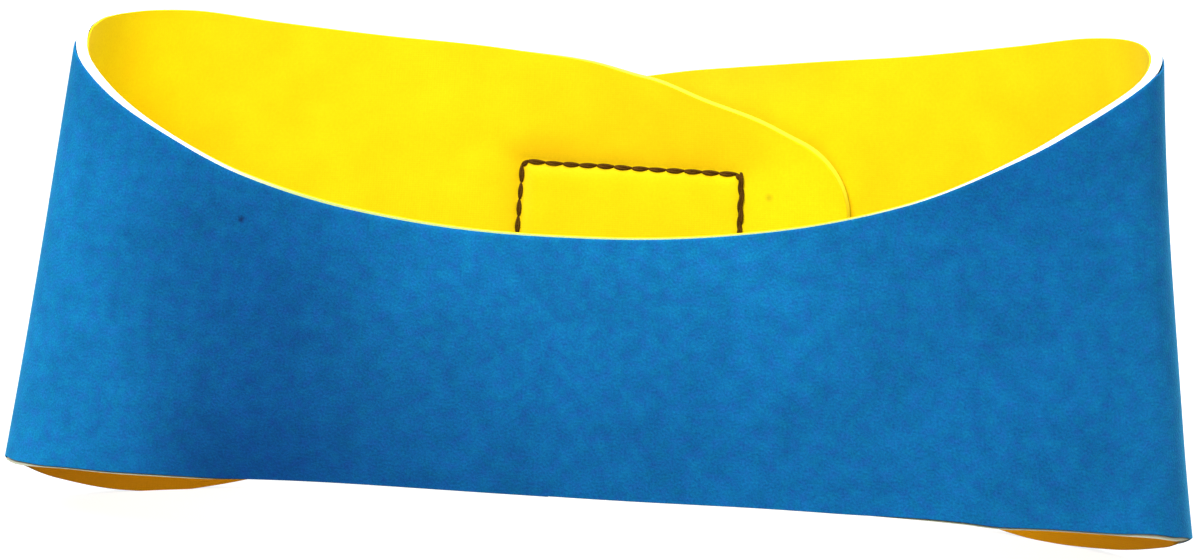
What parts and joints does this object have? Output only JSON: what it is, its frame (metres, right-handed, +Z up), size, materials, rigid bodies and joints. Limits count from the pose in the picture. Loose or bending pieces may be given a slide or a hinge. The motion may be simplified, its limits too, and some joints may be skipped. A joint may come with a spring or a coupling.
{
  "type": "swimming headband",
  "caption": "Wide laminated foam headband that covers a swimmer's ears, closed behind the head by overlapping hook and loop tails.",
  "frame": {"origin": "on the floor under the middle of the loop, where the two ear lobes' lower edges stand", "axes": "+X across the head to the outer tail's side, -Y towards the forehead, +Y towards the nape, +Z up"},
  "size_m": [0.258, 0.0974, 0.1111],
  "materials": {
    "jersey_blue": "matt brushed knit",
    "jersey_yellow": "matt smooth knit",
    "foam_white": "cut closed-cell foam",
    "tape_black": "woven nylon tape",
    "hook_nylon": "moulded nylon hooks",
    "loop_nylon": "brushed nylon pile",
    "thread_dark": "twisted polyester thread"
  },
  "bodies": {
    "forehead_band": {"forehead_outer_jersey": "jersey_blue", "forehead_foam_core": "foam_white", "forehead_inner_jersey": "jersey_yellow"},
    "inner_tail": {"inner_tail_outer_jersey": "jersey_blue", "inner_tail_foam_core": "foam_white", "inner_tail_inner_jersey": "jersey_yellow", "hook_tape": "tape_black", "hook_field": "hook_nylon", "hook_seam_needle_thread": "thread_dark", "hook_seam_bobbin_thread": "thread_dark"},
    "outer_tail": {"outer_tail_outer_jersey": "jersey_blue", "outer_tail_foam_core": "foam_white", "outer_tail_inner_jersey": "jersey_yellow", "loop_tape": "tape_black", "loop_pile": "loop_nylon", "loop_seam_needle_thread": "thread_dark", "loop_seam_bobbin_thread": "thread_dark"}
  },
  "joints": [
    {"name": "inner_tail_flex", "type": "hinge", "parent": "forehead_band", "child": "inner_tail", "pos_m": [-0.12047, -0.01373, 0.05282], "axis": [-0.1203, -0.1169, -0.9858], "range_deg": [0, 15]},
    {"name": "outer_tail_open", "type": "hinge", "parent": "forehead_band", "child": "outer_tail", "pos_m": [0.12353, -0.01373, 0.05282], "axis": [0.1203, -0.1169, -0.9858], "range_deg": [0, 90]}
  ]
}
